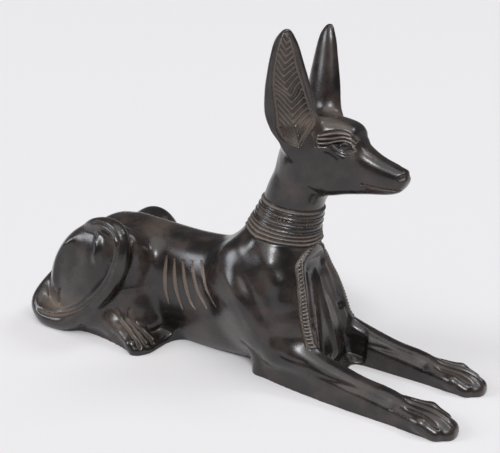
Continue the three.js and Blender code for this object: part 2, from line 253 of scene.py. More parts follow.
forearm = links(through([
    (44, 27, 20, 9.5), (68, LEG_SPACING, 14.5, 8.4), (92, LEG_SPACING, 9.2, 7.6),
    (108, LEG_SPACING, 7.4, 7.5), (121, LEG_SPACING, 4, 7.2),
], 14))
leg_top = curve((30, 25), (45, 25), (60, 20), (84, 14), (99, 11.4), (112, 9.6), (130, 7), (149, 3))
leg_taper = curve((0, LEG_HALF), (8, LEG_HALF - 0.8), (26, LEG_HALF - 1.8))
leg_outline = curve((28, 20), (31, 23), (41, 30), (51, 32.6), (65, 34.4), (90, LEG_OUTSIDE))


def leg_wall(x, side, z):
    """The wall of resin that fills the space between a forearm and the ground."""
    reach = np.hypot(np.maximum(x - PAW_FRONT, 0), side - LEG_SPACING)
    taper = leg_taper(z)
    half = np.where(side > LEG_SPACING, leg_outline(x) - LEG_OUTSIDE + taper, taper)
    return smooth_max(smooth_max(reach - half, 30 - x, 8), z - leg_top(x), 3)


paw_pad = oval((130, LEG_SPACING, 2), (18, 10.3, 9.5))
TOE_SPREAD = 5.5


def fore_toe(step):
    side = LEG_SPACING + step * TOE_SPREAD
    outer = abs(step) > 1
    return links([
        (118, LEG_SPACING + step * TOE_SPREAD * 0.6, 6, 4.2),
        (131, side, 5.6, 4),
        (138.8 if outer else 143.8, side, 2.6, 3.7 if outer else 4.1),
    ], 2)


fore_toes = [fore_toe(step) for step in STEPS_ACROSS_PAW]


def foreleg(x, side, z):
    leg = smooth_min(forearm(x, side, z), leg_wall(x, side, z), 2)
    paw = paw_pad(x, side, z)
    for toe in fore_toes:
        paw = smooth_min(paw, toe(x, side, z), 1.2)
    return smooth_min(leg, paw, 3)


haunch = oval((-95, 30, 29.5), (24.5, 17.5, 36), -7)
hind_shank = links([(-84, 36, 12, 11), (-70, 38, 9.5, 9), (-60, 38.5, 6.5, 7.5)], 5)
hock = links([(-74, 30, 30, 9), (-64, 29, 20, 8), (-55, 28, 9, 7)], 6)
hind_toes = [
    links([(-68, 44, 11.5, 4.2), (-56, 46, 7.4, 3.7), (-48.5, 49.6, 4.8, 3.6), (-45.8, 50.4, 2.4, 3.4)], 2),
    links([(-62, 42.6, 11, 4), (-55.8, 42, 8.6, 3.6), (-48.4, 45, 5.4, 3.6), (-43.4, 47, 2.8, 3.4)], 2),
    links([(-60, 39.5, 11, 4), (-50, 41, 6.4, 3.6), (-43.8, 42.2, 3.4, 3.5)], 2),
    links([(-60, 36, 10.6, 4), (-51, 36.6, 7, 3.6), (-43.2, 37, 3.6, 3.5)], 2),
]
slab_edge = curve(
    (-100, 42), (-83, 45), (-73, 46.3), (-64, 47.6), (-53.6, 50), (-46, 53), (-43, 52.4), (-40, 49.4),
    (-37, 44),
)
slab_top = curve((-100, 11), (-80, 11), (-65, 9.4), (-54, 7), (-47, 4.6), (-37, 3))


def hind_foot(x, side, z):
    """A foot whose toes lie on a thin slab that joins the belly."""
    foot = smooth_min(hind_shank(x, side, z), hock(x, side, z), 5)
    for toe in hind_toes:
        foot = smooth_min(foot, toe(x, side, z), 1.2)
    edge = smooth_max(side - slab_edge(x), x + 37.5, 3)
    slab = smooth_max(smooth_max(edge + z * 0.25, z - slab_top(x), 1.5), -92 - x, 4)
    return smooth_min(foot, slab, 1.5)


# ---------------------------------------------------------------- right thigh and its wrapped tail
thigh = oval((-91, -32.5, 37.3), (44.5, 16, 27), 42)
TAIL_ROUTE = [
    (-108, -2, 38), (-121, -12, 33), (-130, -27, 22), (-132.5, -42, 11), (-122, -49, 5.4),
    (-108, -50, 4.8), (-99.5, -49.8, 8), (-88, -49, 17.4), (-76.6, -48, 28), (-67.1, -47, 38.5),
    (-61.5, -46, 48.4), (-58.5, -45, 57.2), (-59, -43.5, 64.7), (-61, -42.3, 70.1), (-65.6, -40.7, 73.6),
    (-74.2, -39, 74.5), (-84, -37.5, 72.7), (-91, -35.5, 69.8), (-96.8, -33.5, 65.3),
]
TAIL_STEPS = 90
tail_thickness = curve(
    (0, 9), (0.2, 7.4), (0.28, 6.4), (0.36, 6), (0.46, 5.4), (0.55, 5), (0.86, 4.8), (0.95, 4), (1, 2),
)
tail_line = through(TAIL_ROUTE, TAIL_STEPS)
tail = links(np.column_stack([tail_line, tail_thickness(np.linspace(0, 1, TAIL_STEPS + 1))]))


def tail_web(x, y, z):
    """The sloping floor between the thigh and the tail behind it."""
    slope = (z - 11 - 0.8 * (y + 47)) * 0.78
    outline = (np.hypot((x + 108) / 25, (y + 26) / 24) - 1) * 24
    return smooth_max(slope, outline, 4)


# ---------------------------------------------------------------- head
HEAD_REAR = 28
NOSE_TIP = 101.5
head_top = curve(
    (28, 134), (32, 142), (38, 148), (46, 151), (57, 151.6), (65, 150.5), (69.5, 149), (72, 146.6),
    (73.6, 142.4), (75.2, 139.2), (79, 136.3), (86, 132.7), (94, 130), (99, 128.4), (NOSE_TIP, 124),
)
head_under = curve(
    (28, 124), (34, 117), (40, 112), (46, 108.5), (56, 108.5), (68, 111), (80, 112.8), (90, 114.2),
    (96, 116), (99.5, 119.5), (NOSE_TIP, 123),
)
head_half = curve(
    (28, 8), (32, 13), (38, 16), (46, 17), (57, 15.6), (64, 13.2), (70, 11.4), (76, 10), (84, 8.7),
    (92, 7.6), (98, 6.4), (100.5, 4.8), (NOSE_TIP, 2),
)
head_boxiness = curve((28, 2.4), (52, 2.7), (66, 3.4), (73, 3.2), (80, 2.7), (92, 2.6), (100, 2.3))


def head(x, y, z):
    half = head_half(x)
    top = head_top(x)
    under = head_under(x)
    reach = (top - under) / 2
    out = section(y / half, (z - (top + under) / 2) / reach, head_boxiness(x))
    return smooth_max((out - 1) * np.minimum(half, reach) * 0.85, np.maximum(HEAD_REAR - x, x - NOSE_TIP), 3)


# ---------------------------------------------------------------- ears: tall leaves, hollow in front
EAR_FOOT = (40.5, -20.5, 139)
EAR_TIP = (38.2, -24.2, 198)
EAR_FACING = math.radians(-57)  # the direction that the right ear opens to
EAR_HEIGHT = EAR_TIP[2] - EAR_FOOT[2]
EAR_LIP = 2.0
EAR_BACK = 3.6
ear_bow = curve((0, 2.5), (0.25, 0.1), (0.45, -0.4), (0.6, -0.8), (0.75, -1.1), (0.9, -1.1), (1, -0.3))
ear_half = curve(
    (-0.12, 5), (0, 8.6), (0.12, 11.8), (0.29, 13.3), (0.45, 12.5), (0.6, 10.7), (0.75, 8.5), (0.88, 6.2),
    (0.956, 3.7), (1, 1.4),
)
ear_depth = curve(
    (-0.12, 6.5), (0, 9.6), (0.12, 10.8), (0.27, 10.9), (0.45, 9.7), (0.7, 7), (0.88, 4.8), (0.956, 3),
    (1, 1.2),
)
hollow_middle = curve(
    (-0.03, 4.2), (0, 2.6), (0.056, 1.3), (0.136, 1.8), (0.203, 2.8), (0.36, 1.1), (0.49, -0.3), (0.7, -1.5),
    (0.93, -1.2),
)
hollow_half = curve(
    (-0.03, 0.6), (0, 3.2), (0.056, 6.3), (0.136, 9), (0.203, 10.2), (0.36, 9.4), (0.49, 8.6), (0.7, 6.3),
    (0.86, 4.2), (0.95, 2.4), (1, 0.6),
)
EAR_BOX = (10, 65, 0, 50, 120, 206)


def ear_place(x, side, z):
    """A point in the right ear's own directions: how far up it, across its opening, and out of it."""
    rise = (z - EAR_FOOT[2]) / EAR_HEIGHT
    dx = x - EAR_FOOT[0] - (EAR_TIP[0] - EAR_FOOT[0]) * rise
    dy = -side - EAR_FOOT[1] - (EAR_TIP[1] - EAR_FOOT[1]) * rise
    across = dy * math.cos(EAR_FACING) - dx * math.sin(EAR_FACING)
    out = dx * math.cos(EAR_FACING) + dy * math.sin(EAR_FACING)
    return rise, across, out


def ear_hollow(rise, across, out, z):
    """The hollow that is scooped out of the leaf's front."""
    half = hollow_half(rise)
    depth = np.maximum(ear_depth(rise) - EAR_BACK, 0.5) * (0.35 + 0.65 * ramp(-0.05, 0.28, rise))
    reach = np.hypot((across - hollow_middle(rise)) / half, (out - EAR_LIP) / depth) - 1
    return smooth_max(reach * np.minimum(half, depth) * 0.8, EAR_FOOT[2] - 2 - z, 2)


def ear(x, side, z):
    rise, across, out = ear_place(x, side, z)
    half = ear_half(rise)
    depth = ear_depth(rise)
    leaf = (np.hypot((across - ear_bow(rise)) / half, out / depth) - 1) * np.minimum(half, depth) * 0.8
    front = smooth_max(leaf, out - EAR_LIP, 1.2)
    return smooth_max(smooth_max(front, z - EAR_TIP[2], 1), EAR_FOOT[2] - 8 - z, 6)


# ---------------------------------------------------------------- the blended body
# Each mass: its distance, the width of its join, True if it is mirrored, and the box (low x, high x,
# low y, high y, low z, high z) outside which it can't touch the surface.
MASSES = [
    (neck, 16, False, (-30, 80, -45, 45, 30, 150)),
    (shoulder, 10, True, (-25, 75, -5, 55, -5, 95)),
    (chest, 5, False, (5, 85, -45, 45, -5, 95)),
    (rump, 10, False, (-135, -65, -40, 40, -5, 80)),
    (haunch, 10, True, (-135, -55, 0, 60, -5, 80)),
    (thigh, 14, False, (-150, -35, -60, -8, -5, 85)),
    (foreleg, 5, True, (20, 156, 5, 45, -5, 45)),
    (hind_foot, 10, True, (-110, -28, 15, 64, -5, 35)),
    (tail_web, 4, False, (-145, -70, -60, 10, -5, 60)),
    (tail, 4.5, False, (-150, -40, -64, 15, -5, 92)),
    (head, 7, False, (15, 110, -30, 30, 95, 165)),
    (ear, 8, True, EAR_BOX),
]


def inside(box, x, y, z):
    return (x > box[0]) & (x < box[1]) & (y > box[2]) & (y < box[3]) & (z > box[4]) & (z < box[5])


MIDLINE_ROUNDING = 0.2


def body(x, y, z):
    """Distance to the plain body, without its carving."""
    side = np.sqrt(y * y + MIDLINE_ROUNDING**2)
    shape = trunk(x, y, z)
    for mass, join, mirrored, box in MASSES:
        across = side if mirrored else y
        near = np.flatnonzero(inside(box, x, across, z))
        if near.size:
            distance = mass(x[near], across[near], z[near])
            shape[near] = smooth_min(shape[near], distance, join)
    near = np.flatnonzero(inside(EAR_BOX, x, side, z))
    if near.size:
        rise, across, out = ear_place(x[near], side[near], z[near])
        shape[near] = smooth_max(shape[near], -ear_hollow(rise, across, out, z[near]), 0.8)
    return shape


# ---------------------------------------------------------------- carving
# A carving gives the height, in mm, by which it raises the surface, or sinks it where it's negative.
SPANS_PER_POINT = 6


def sheet(low, high, height, pitch=0.12):
    """Draws a height once on a flat sheet from corner `low` to corner `high`, and looks it up from there."""
    count = [int((h - l) / pitch) + 1 for l, h in zip(low, high)]
    u, v = np.meshgrid(
        *[np.linspace(l, h, n, dtype=np.float32) for l, h, n in zip(low, high, count)], indexing="ij"
    )
    drawn = height(u, v).astype(np.float32)
    scale = [(n - 1) / (h - l) for l, h, n in zip(low, high, count)]

    def look_up(u, v):
        a = np.clip((u - low[0]) * scale[0], 0, count[0] - 1.001)
        b = np.clip((v - low[1]) * scale[1], 0, count[1] - 1.001)
        i, j = a.astype(np.int32), b.astype(np.int32)
        s, t = a - i, b - j
        near = drawn[i, j] * (1 - t) + drawn[i, j + 1] * t
        far = drawn[i + 1, j] * (1 - t) + drawn[i + 1, j + 1] * t
        return near * (1 - s) + far * s

    return look_up


def line_distance(u, v, points):
    """Distance in a plane to a line through `points`, and how far along the line, from 0 to 1."""
    points = through(points, SPANS_PER_POINT * len(points)) if len(points) > 2 else np.array(points, float)
    nearest = np.full(u.shape, 1e6, np.float32)
    along = np.zeros(u.shape, np.float32)
    spans = len(points) - 1
    for i, (a, b) in enumerate(zip(points[:-1], points[1:])):
        du, dv = b - a
        t = np.clip(((u - a[0]) * du + (v - a[1]) * dv) / (du * du + dv * dv), 0, 1)
        away = (u - a[0] - du * t) ** 2 + (v - a[1] - dv * t) ** 2
        closer = away < nearest
        nearest = np.where(closer, away, nearest)
        along = np.where(closer, (i + t) / spans, along)
    return np.sqrt(nearest), along


def stroke(u, v, points, height, width, fade):
    """One raised or sunk line; `fade` is the share of its length over which each end dies out."""
    away, along = line_distance(u, v, points)
    return height * bell(away, width) * ramp(0, fade, along) * ramp(0, fade, 1 - along)


def strokes(u, v, lines):
    """Adds up a list of strokes, each of them its points, height, width and fade."""
    return sum(stroke(u, v, *line) for line in lines)


BROW_GROOVE = [
    (54.4, 144.2), (58.8, 145.8), (63.6, 146.6), (67.8, 146.1), (70.2, 144.8), (71.8, 143.2), (73.2, 140.9),
]
FOLD_GROOVE = [(54, 143), (57.4, 143.3), (62, 144.1), (66.5, 144.7), (70, 144), (71.5, 142.7), (73.2, 140.7)]
LID_GROOVE = [
    (53.7, 141.2), (56.8, 141.2), (60.5, 141.3), (64.3, 142.3), (67.6, 142.8), (71.1, 141.7), (73, 139.3),
]
RIM_GROOVE = [
    (55.2, 138.7), (58.2, 138.9), (61, 139.5), (64.7, 140.8), (67.6, 141.2), (70.2, 140.5), (71.9, 139),
]
BROW_FOLD = [(54.2, 143.7), (58, 144.5), (63, 145.4), (67, 145.4), (70, 144.4), (71.8, 142.8)]
LID_FOLD = [(54, 142.1), (57.4, 142.2), (62, 142.7), (66.5, 143.7), (70.2, 143), (72.4, 141)]
LID_RIM = [
    (54, 139.9), (58, 139.9), (61.5, 140.5), (65, 141.6), (68, 142), (70.8, 141), (72.5, 138.8),
    (73.4, 136.6),
]
UNDER_LID = [
    (62.6, 138.9), (63.6, 137.7), (66, 135.9), (68.5, 135.1), (70.6, 135.2), (72.4, 135.6), (73.4, 136.4),
]
UNDER_LID_GROOVE = [(63, 137), (65, 135.5), (67.2, 134.5), (69.6, 134.1), (72, 134.5), (73.6, 135.3)]
LASH_LINE = [
    (54.1, 137.6), (57, 137.5), (59.8, 136.9), (61.4, 136.5), (63.9, 134.9), (66.5, 132.9), (68.6, 131.4),
]
LASH_GROOVE = [(57, 136.6), (59.8, 135.9), (61.6, 135.2), (64, 133.6), (66.6, 131.6)]
TEMPLE_SLIT = [(52.3, 145.6), (52.3, 143.8), (53.2, 141.6), (53.5, 139.6), (53.9, 137.4)]
MOUTH = [(78.1, 119.6), (82, 119.3), (88, 118.8), (94, 118.6), (99, 118.6)]
LOWER_LIP = [(79, 118), (86, 117.6), (94, 117.5)]
MUZZLE_EDGE = [
    (73.8, 140), (76.1, 137.7), (78.7, 135.9), (82.1, 134.3), (86.3, 132.5), (92, 130.5), (97.4, 129),
]
MUZZLE_LINE = [(74.4, 141.2), (77, 138.6), (79.8, 136.6), (83.4, 134.9), (88, 133), (94, 131), (98, 129.8)]
JAW_CREASE = [(46, 116), (48.8, 114.5), (52.2, 112.3), (55.3, 110.6), (59, 109.6)]
FACE_LINES = [
    (BROW_GROOVE, -0.75, 0.45, 0.05),
    (FOLD_GROOVE, -0.7, 0.42, 0.04),
    (LID_GROOVE, -0.7, 0.42, 0.04),
    (RIM_GROOVE, -0.7, 0.42, 0.04),
    (BROW_FOLD, 0.45, 0.55, 0.04),
    (LID_FOLD, 0.45, 0.55, 0.04),
    (LID_RIM, 0.45, 0.55, 0.04),
    (UNDER_LID, 0.4, 0.4, 0.06),
    (UNDER_LID_GROOVE, -0.35, 0.45, 0.1),
    (LASH_LINE, 0.4, 0.7, 0.1),
    (LASH_GROOVE, -0.3, 0.9, 0.2),
    (TEMPLE_SLIT, -0.9, 0.45, 0.08),
    (MUZZLE_EDGE, 0.3, 0.6, 0.2),
    (MUZZLE_LINE, -0.55, 0.6, 0.2),
    (JAW_CREASE, -0.35, 1.2, 0.35),
    (MOUTH, -0.7, 0.4, 0.06),
    (LOWER_LIP, 0.35, 0.6, 0.2),
]
EYE = (67.5, 138.8)
EYEBALL = 2.6
EYE_HALF_HEIGHT = 1.9
NOSTRIL = (99, 125.6)


def face_height(x, z):
    """The brow, lids, almond eye, lash line, mouth and nostril on the side of the head."""
    height = strokes(x, z, FACE_LINES)
    dx, dz = x - EYE[0], z - EYE[1]
    ball = np.sqrt(np.maximum(1 - (np.hypot(dx, dz) / EYEBALL) ** 2, 0))
    almond = EYE_HALF_HEIGHT - np.abs(dz + dx * 0.25) - 0.052 * dx**2
    height += 1.5 * ball - 1.1 * ramp(-0.6, 0.4, almond)
    height += -0.9 * bell(np.hypot(x - MOUTH[0][0], z - MOUTH[0][1]), 0.6)
    height += -1.4 * bell(np.hypot((x - NOSTRIL[0]) / 1.3, z - NOSTRIL[1]), 1.1)
    return height


COLLAR_TOP = (33, 99.8)
COLLAR_TILT = 0.155
COLLAR_RIDGES = (0, 3.9, 7.8, 11.8, 13.9, 16, 18.1)
COLLAR_DEPTH = 18.7
GROUP_SPACING = 50.0  # degrees round the neck from one group of strokes to the next
STROKE_SPACING = 6.6  # degrees from one stroke of a group to the next


def collar_height(drop, turn):
    """The collar's raised band, its ridges and, in its second band, groups of upright strokes."""
    height = 0.55 * ramp(-0.8, -0.1, drop) * ramp(-0.8, -0.1, COLLAR_DEPTH - drop)
    for ridge in COLLAR_RIDGES:
        height += 0.6 * bell(drop - ridge, 0.5) - 0.45 * bell(drop - ridge - 1.1, 0.45)
    height += -0.5 * bell(drop + 0.9, 0.6)
    band = ramp(4.4, 5, drop) * ramp(-7.2, -6.6, -drop)
    group = np.mod(turn, GROUP_SPACING) - GROUP_SPACING / 2
    within = ramp(-9.6, -8.6, -np.abs(group))
    upright = np.cos(group * (2 * math.pi / STROKE_SPACING))
    return height - 1.6 * band * within * np.clip(upright, 0, 1)


HERRINGBONE_PITCH = 3.5
spine_line = curve((146, 2.3), (157, 1.5), (163, 1), (168, -1.4), (174, -2.5), (182, -1.5), (194, -0.4))


def ear_height(across, z):
    """Herringbone hair in the ear's hollow, with a finer rim line round it."""
    rise = (z - EAR_FOOT[2]) / EAR_HEIGHT
    off = across - spine_line(z)
    slope = np.where(off > 0, 1.05, 1.3)
    phase = (z - slope * np.abs(off)) / HERRINGBONE_PITCH
    ridge = 1 - np.abs(2 * (phase - np.floor(phase)) - 1) * 1.6
    edge = hollow_half(rise) - np.abs(across - hollow_middle(rise))
    hair = 0.6 * np.clip(ridge, -0.9, 0.9) * ramp(1.2, 2, edge) * ramp(146, 149, z)
    fan = np.cos(np.degrees(np.arctan2(across - 5, z - 137)) * 0.55)
    tuft = 0.3 * fan * ramp(1.2, 2, edge) * ramp(-149, -146, -z) * ramp(-6, -2, -across)
    rim = 0.35 * bell(edge - 1.1, 0.35) - 0.35 * bell(edge - 0.3, 0.35)
    return hair + tuft + rim


RIBS = [
    [(-43.6, 54.9), (-42.9, 50.5), (-42.5, 45.9), (-42.1, 41.2), (-41.5, 36.4), (-40.4, 31.2), (-38.4, 26)],
    [(-37.5, 54.6), (-36.1, 49), (-34.8, 43.5), (-33.6, 38.3), (-31.7, 33.1), (-29.7, 28.5), (-27.6, 24.8)],
    [(-31.2, 54.6), (-28.9, 49.2), (-27.6, 45.2), (-25.6, 40.3), (-23.5, 35.5), (-21.2, 31.9), (-17.4, 28)],
    [(-24.3, 55.8), (-21.5, 50.7), (-19.1, 46.4), (-16.9, 42.4), (-14.2, 38.5), (-11.2, 34.9), (-8.4, 31)],
    [(-17.6, 57.6), (-13.8, 53.2), (-10.4, 49.9), (-7.7, 45.6), (-4.9, 42.1), (-2.5, 38.5), (0.1, 35.7)],
]


RIBS_BOX = (-48, 4, 10, 40, 22, 62)
RIB_HALF = 1.25


def rib_height(x, z):
    """Five curved, flat-bottomed cuts between the ribs, widest in the middle."""
    height = np.zeros(x.shape, np.float32)
    for rib in RIBS:
        away, along = line_distance(x, z, rib)
        half = RIB_HALF * np.sin(np.pi * np.clip(along, 0.01, 0.99)) ** 0.7
        height -= 1.0 * ramp(-0.4, 0.4, half - away)
    return height


# ---- the scarf: two beaded edges that part at the knot and run down the corners of the chest
scarf_edge = curve(
    (16, 27), (28.4, 26.2), (33.7, 25.6), (39.4, 25), (45.9, 23.6), (52.2, 21.5), (58.4, 19.1), (64.7, 16.9),
    (69, 15.2), (70.6, 13.8), (72.3, 12.2), (75.2, 7.8), (77.6, 2.2), (79, -2),
)
corner_line = curve(
    (16, 64), (28.4, 60.3), (33.7, 58.1), (39.4, 55.9), (45.9, 53.5), (52.2, 51.2), (58.4, 49.1), (64.7, 47),
    (69, 46.1), (72.3, 46.8), (77.6, 48),
)
BEAD_PITCH = 1.9
PLEATS = [
    ([(3.2, 64), (4.5, 58), (6.4, 50), (8.6, 43), (11, 36), (13.6, 28), (15.5, 18), (16, 6)], -1, 1.7, 0.12),
    ([(9.6, 65), (11, 60), (12.4, 55), (13.8, 49.3), (15.2, 43), (17.4, 36)], 1.0, 1.8, 0.12),
    ([(0, 63), (0, 50), (0, 38), (0, 20), (0, 6)], 1.1, 2.2, 0.12),
    ([(17.4, 36), (19, 28), (20.5, 16), (21, 6)], 1.0, 2.0, 0.12),
]


def scarf_height(side, z):
    """The scarf's beaded edges, and the sunk, pleated front between them."""
    edge = scarf_edge(z)
    off = (side - edge) * 0.93
    upper = ramp(68.5, 70, z)
    half = 1.65 - 0.5 * upper
    shown = ramp(24.5, 27.5, z)
    height = 0.5 * ramp(-0.3, 0.3, half - np.abs(off)) * shown
    beads = np.cos((z - 0.35 * side * upper) * (2 * math.pi / BEAD_PITCH))
    beads = beads * ramp(-0.2, 0.2, half - 0.5 - np.abs(off))
    middle_line = bell(off, 0.3) * ramp(44, 50, z)
    height += (0.35 * beads - 0.3 * middle_line) * shown
    height -= 0.5 * bell(np.abs(off) - half - 0.6, 0.5) * shown
    below = ramp(-73, -66, -z)
    height -= (1.7 + 1.3 * ramp(-58, -42, -z)) * ramp(1.8, 8, -off) * below
    for pleat in PLEATS:
        height += stroke(side, z, *pleat)
    return height


# ---- the forequarter and hindquarter, drawn on the side view
SIDE_LINES = [
    ([(12, 67), (18, 63), (24.4, 57), (30.9, 48.8), (35.1, 40.9), (40, 32)], -1.2, 3.0, 0.3),
    ([(3, 62), (12, 57), (19.5, 50.5), (25, 43), (29.4, 35), (35, 27)], 0.9, 3.6, 0.3),
    ([(45, 22.6), (48.1, 21.8), (52.1, 20.1), (59, 19.2), (66, 18.6)], -0.5, 1.2, 0.25),
    ([(16, 20), (19.2, 19.4), (26.4, 17.4), (30.9, 14.4), (33.2, 9.3), (33.6, 3)], -0.6, 2.0, 0.2),
    ([(64, 15.6), (74, 14.2), (86, 13.2), (98, 12)], -0.6, 1.3, 0.3),
]
TAIL_GROOVE = [
    (-128.2, 10), (-120.6, 9), (-109.4, 9.5), (-97.3, 14), (-85.5, 21.1), (-75, 30.9), (-66.7, 41.3),
    (-61.9, 50.7), (-59.4, 59.4), (-58.7, 66.1), (-60.7, 70.9), (-65.3, 74.4), (-71.8, 76.1), (-80.6, 75.9),
    (-87, 72.9),
]
TAIL_RIM = [
    (-127.4, 12.6), (-120.5, 11.7), (-110.2, 12), (-98.7, 16.4), (-87.4, 23.1), (-77, 32.7), (-69, 42.5),
    (-64.4, 51.7), (-62, 59.7), (-61.3, 65.6), (-62.6, 69.2), (-66.4, 71.9), (-72, 73.5), (-80, 73.3),
]
HINDQUARTER_LINES = [
    (TAIL_GROOVE, -1.1, 0.7, 0.05),
    (TAIL_RIM, 0.5, 0.9, 0.06),
    ([(-81, 72), (-78.4, 65.5), (-76.8, 60.9), (-76.9, 55.5), (-77.6, 49)], 2.8, 2.4, 0.35),
    ([(-95, 66), (-104.5, 58), (-110.5, 49), (-112.6, 40), (-112.8, 30), (-110.5, 20)], 2.2, 3.4, 0.25),
    ([(-106.6, 28.8), (-109.4, 22.8), (-112.2, 13.6)], -1.8, 0.9, 0.15),
]


def hindquarter_height(x, z):
    """The groove and rim along the wrapped tail, and the dished thigh inside it."""
    lean = 0.35 * (z - 46)
    dish = 3 * bell(np.hypot((x + 96 - lean) / 10, (z - 48) / 15), 1)
    return strokes(x, z, HINDQUARTER_LINES) - dish


def side_height(x, z):
    """The creases of the shoulder, elbow and forearm."""
    return strokes(x, z, SIDE_LINES)


TOE_GROOVES = [
    ([(118, 30.8), (123, 31.1), (128, 31.4), (134, 32.4), (142, 34)], -1.6, 0.9, 0.25),
    ([(116, 25.8), (124, 25.6), (132, 25.9), (140, 26.6), (148, 27.4)], -1.6, 0.9, 0.25),
    ([(118, 20.7), (124, 20.3), (132, 19.9), (144, 20)], -1.6, 0.9, 0.25),
]
HIND_TOE_GROOVES = [
    ([(-64, 43.4), (-57, 44.4), (-52, 46), (-46, 48.4), (-41, 50)], -1.5, 0.8, 0.12),
    ([(-62, 40.6), (-56, 41), (-50, 43), (-44, 44.8), (-39, 45.8)], -1.5, 0.8, 0.12),
    ([(-62, 37.7), (-56, 38), (-50, 38.8), (-39, 39.6)], -1.5, 0.8, 0.12),
    ([(-76, 42), (-64, 42.3), (-55, 44), (-50, 47)], 0.6, 0.8, 0.12),
]


def paw_height(x, side):
    """Long grooves between the toes."""
    return strokes(x, side, TOE_GROOVES)


def hind_paw_height(x, side):
    """The same on the hind foot, where the toes are longer, and a tendon behind them."""
    return strokes(x, side, HIND_TOE_GROOVES)


face = sheet((44, 106), (103, 151), face_height)
collar = sheet((-3, -180), (25, 180), collar_height, 0.1)
ear_hair = sheet((-16, 137), (18, 199), ear_height)
ribs = sheet((-48, 22), (4, 62), rib_height)
scarf = sheet((0, 1), (36, 82), scarf_height)
side_lines = sheet((-72, 0), (128, 84), side_height, 0.3)
hindquarter = sheet((-142, 2), (-44, 86), hindquarter_height, 0.25)
paws = sheet((84, 12), (150, 40), paw_height, 0.2)
hind_paws = sheet((-78, 28), (-36, 56), hind_paw_height, 0.2)


def carve_face(x, side, z):
    return face(x, z) * ramp(1.5, 4, side)


def carve_collar(x, side, z):
    drop = (COLLAR_TOP[1] - COLLAR_TILT * (x - COLLAR_TOP[0]) - z) * 0.987
    turn = np.degrees(np.arctan2(side, x - neck_axis(z)))
    return collar(drop, turn)


def carve_ear(x, side, z):
    rise, across, out = ear_place(x, side, z)
    return ear_hair(across, z) * ramp(-2.2, -1.2, -ear_hollow(rise, across, out, z) - 1.6)


def carve_ribs(x, side, z):
    return ribs(x, z) * ramp(12, 18, side)


def carve_scarf(x, side, z):
    round_corner = side - np.minimum(x - corner_line(z), 0)
    on_chest = ramp(38, 43, x + 0.16 * (z - 40)) * ramp(-5, -1, chest_front(z) + 3 - x)
    return scarf(round_corner, z) * on_chest * ramp(1, 5, z)


def carve_side(x, side, z):
    return side_lines(x, z) * ramp(14, 19, side)


def carve_hindquarter(x, y, z):
    return hindquarter(x, z) * ramp(33, 39, -y)


def carve_paws(x, side, z):
    return paws(x, side) * ramp(2, 4.5, z)


def carve_hind_paws(x, side, z):
    return hind_paws(x, side) * ramp(1, 3.5, z) * ramp(-24, -19, -z)


# Each carving: its height, True if it is mirrored left and right, and the box that it stays in.
CARVINGS = [
    (carve_face, True, (44, 103, 1, 22, 106, 151)),
    (carve_collar, True, (8, 60, -1, 32, 70, 106)),
    (carve_ribs, True, RIBS_BOX),
    (carve_ear, True, (20, 60, 4, 42, 137, 199)),
    (carve_scarf, True, (26, 85, -1, 34, 1, 81)),
    (carve_side, True, (-72, 128, 13, 60, 0, 84)),
    (carve_hindquarter, False, (-142, -44, -64, -20, 2, 86)),
    (carve_paws, True, (84, 150, 12, 40, 1, 24)),
    (carve_hind_paws, True, (-78, -36, 28, 56, 1, 24)),
]


def carved(x, y, z):
    """Distance to the carved surface."""
    side = np.abs(y)
    shape = body(x, y, z)
    for carving, mirrored, box in CARVINGS:
        across = side if mirrored else y
        near = np.flatnonzero(inside(box, x, across, z) & (np.abs(shape) < 4))
        if near.size:
            shape[near] -= carving(x[near], across[near], z[near])
    return shape


def grounded(x, y, z):
    """The carved surface, closed by a flat underside."""
    return np.maximum(carved(x, y, z), -z)


# Places that a hand or a cloth seldom reaches, where tan dust stays: (x, y, z, how far it spreads, how much).
DUST = [
    (-49, -36, 66, 8, 0.6), (-46, -34, 54, 8, 0.6), (-47, -34, 42, 8, 0.5), (-117, -42, 14, 13, 0.7),
    (-104, -47, 13, 8, 0.4), (-92, -48, 24, 11, 0.3), (-64, -45, 52, 6, 0.35), (-70, -43, 68, 6, 0.35),
    (-54, -46, 11, 12, 0.4), (-70, -46, 13, 10, 0.3), (-58, -44, 28, 9, 0.3), (57, -9, 150, 8, 0.55),
    (66, -8, 147, 6, 0.55), (72, -9, 134, 5, 0.45), (46, -12, 150, 7, 0.45), (60, -8, 44, 12, 0.2),
    (-62, -6, 69, 17, 0.45), (40, -22, 150, 9, 0.3), (36, -26, 166, 12, 0.25), (36, -26, 184, 10, 0.2),
    (25, -12, 92, 7, 0.3), (140, -28, 6, 9, 0.2), (40, -14, 112, 9, 0.3), (62, -12, 141, 8, -0.8),
]


def dusty(points):
    """How much tan dust lies at each point, apart from what the recesses hold."""
    amount = np.zeros(len(points), np.float32)
    for x, side, z, spread, much in DUST:
        away = (points[:, 0] - x) ** 2 + (points[:, 2] - z) ** 2
        nearer = np.minimum((points[:, 1] - side) ** 2, (points[:, 1] + side) ** 2)
        amount += much * np.exp(-(away + nearer) / spread**2)
    x, y, z = points.T
    in_ribs = inside(RIBS_BOX, x, np.abs(y), z)
    return amount + in_ribs * np.clip(-ribs(x, z) - 0.25, 0, 0.6) * 1.6


# ---------------------------------------------------------------- from field to mesh
BATCH = 60000


def in_batches(field, points):
    """Runs a field over many points, a batch at a time on every core."""
    starts = range(0, len(points), BATCH)

    def run(start):
        x, y, z = points[start:start + BATCH].T.copy()
        return field(x, y, z)

    with ThreadPoolExecutor() as pool:
        return np.concatenate(list(pool.map(run, starts)))


def spaced(*stretches):
    """Grid lines: each stretch is (start, end, pitch)."""
    lines = [np.linspace(a, b, max(int(round((b - a) / pitch)), 1) + 1)[:-1] for a, b, pitch in stretches]
    return np.concatenate([*lines, [stretches[-1][1]]]).astype(np.float32)


